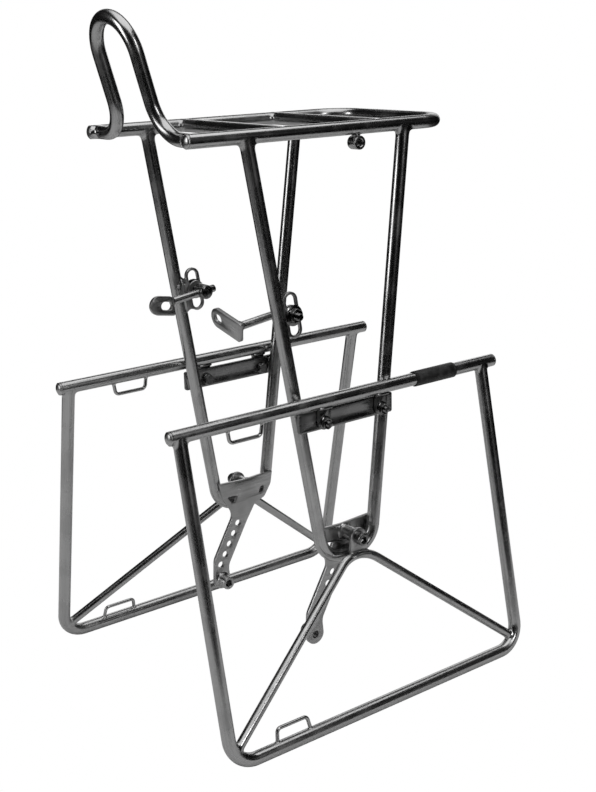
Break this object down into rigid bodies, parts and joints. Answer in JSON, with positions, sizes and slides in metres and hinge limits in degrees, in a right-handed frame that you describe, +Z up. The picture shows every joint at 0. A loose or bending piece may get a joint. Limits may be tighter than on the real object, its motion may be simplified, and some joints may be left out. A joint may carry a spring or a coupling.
{
  "type": "bicycle front touring rack",
  "caption": "Tubular steel front cargo rack for a bicycle, with a flat platform, a backstop hoop, leg loops with drilled dropout straps, adjustable fork struts and pannier frames.",
  "frame": {"origin": "on the ground under the middle of the rack, where the pannier frames' bottom tubes stand", "axes": "+X to the rack's right, +Y forward in the direction of travel, +Z up"},
  "size_m": [0.2668, 0.3076, 0.5109],
  "materials": {
    "plated_steel": "bright nickel plate over brazed steel tube",
    "satin_plug": "satin domed plug",
    "dark_fastener": "black oxide",
    "black_sleeve": "matt black"
  },
  "bodies": {
    "rack_frame": {"platform_loop": "plated_steel", "cross_bar_rear": "plated_steel", "cross_bar_front": "plated_steel", "backstop_hoop": "plated_steel", "platform_plug_L": "satin_plug", "platform_plug_R": "satin_plug", "lamp_boss_R": "plated_steel", "leg_loop_L": "plated_steel", "mounting_bar_L": "plated_steel", "rail_tab_rear_L": "plated_steel", "rail_tab_front_L": "plated_steel", "bar_bolt_rear_L": "dark_fastener", "bar_bolt_front_L": "dark_fastener", "bar_nut_rear_L": "dark_fastener", "bar_nut_front_L": "dark_fastener", "dropout_plate_L": "plated_steel", "dropout_boss_L": "plated_steel", "brace_boss_L": "plated_steel", "brace_tab_L": "plated_steel", "brace_screw_L": "dark_fastener", "pannier_rail_L": "plated_steel", "rail_plug_rear_L": "satin_plug", "rail_plug_front_L": "satin_plug", "pannier_hoop_L": "plated_steel", "pannier_brace_L": "plated_steel", "strap_loop_upper_L": "plated_steel", "strap_loop_lower_L": "plated_steel", "slotted_lug_L": "plated_steel", "leg_loop_R": "plated_steel", "mounting_bar_R": "plated_steel", "rail_tab_rear_R": "plated_steel", "rail_tab_front_R": "plated_steel", "bar_bolt_rear_R": "dark_fastener", "bar_bolt_front_R": "dark_fastener", "bar_nut_rear_R": "dark_fastener", "bar_nut_front_R": "dark_fastener", "dropout_plate_R": "plated_steel", "dropout_boss_R": "plated_steel", "brace_boss_R": "plated_steel", "brace_tab_R": "plated_steel", "brace_screw_R": "dark_fastener", "pannier_rail_R": "plated_steel", "rail_plug_rear_R": "satin_plug", "rail_plug_front_R": "satin_plug", "pannier_hoop_R": "plated_steel", "pannier_brace_R": "plated_steel", "strap_loop_upper_R": "plated_steel", "strap_loop_lower_R": "plated_steel", "slotted_lug_R": "plated_steel", "rail_sleeve_R": "black_sleeve"},
    "clamp_L": {"clamp_nut_L": "dark_fastener", "clamp_washer_L": "plated_steel"},
    "eye_L": {"eye_bolt_L": "dark_fastener"},
    "rod_L": {"strut_rod_L": "plated_steel"},
    "tang_L": {"strut_tang_L": "plated_steel"},
    "clamp_R": {"clamp_nut_R": "dark_fastener", "clamp_washer_R": "plated_steel"},
    "eye_R": {"eye_bolt_R": "dark_fastener"},
    "rod_R": {"strut_rod_R": "plated_steel"},
    "tang_R": {"strut_tang_R": "plated_steel"}
  },
  "joints": [
    {"name": "clamp_slide_L", "type": "slide", "parent": "rack_frame", "child": "clamp_L", "axis": [0, -0.1638, 0.9865], "range_m": [-0.0118, 0.0118]},
    {"name": "strut_swivel_L", "type": "hinge", "parent": "clamp_L", "child": "eye_L", "pos_m": [-0.0515, -0.0354, 0.2988], "axis": [1, 0, 0], "range_deg": [-80, 80]},
    {"name": "strut_length_L", "type": "slide", "parent": "eye_L", "child": "rod_L", "axis": [0, 0.9917, 0.1289], "range_m": [-0.003, 0.018]},
    {"name": "tang_twist_L", "type": "hinge", "parent": "rod_L", "child": "tang_L", "pos_m": [-0.0515, -0.0354, 0.2988], "axis": [0, 0.9917, 0.1289], "range_deg": [-90, 90]},
    {"name": "clamp_slide_R", "type": "slide", "parent": "rack_frame", "child": "clamp_R", "axis": [0, -0.1638, 0.9865], "range_m": [-0.0118, 0.0118]},
    {"name": "strut_swivel_R", "type": "hinge", "parent": "clamp_R", "child": "eye_R", "pos_m": [0.0515, -0.0354, 0.2988], "axis": [1, 0, 0], "range_deg": [-80, 80]},
    {"name": "strut_length_R", "type": "slide", "parent": "eye_R", "child": "rod_R", "axis": [0, 0.9917, 0.1289], "range_m": [-0.003, 0.022]},
    {"name": "tang_twist_R", "type": "hinge", "parent": "rod_R", "child": "tang_R", "pos_m": [0.0515, -0.0354, 0.2988], "axis": [0, 0.9917, 0.1289], "range_deg": [-90, 90]}
  ]
}
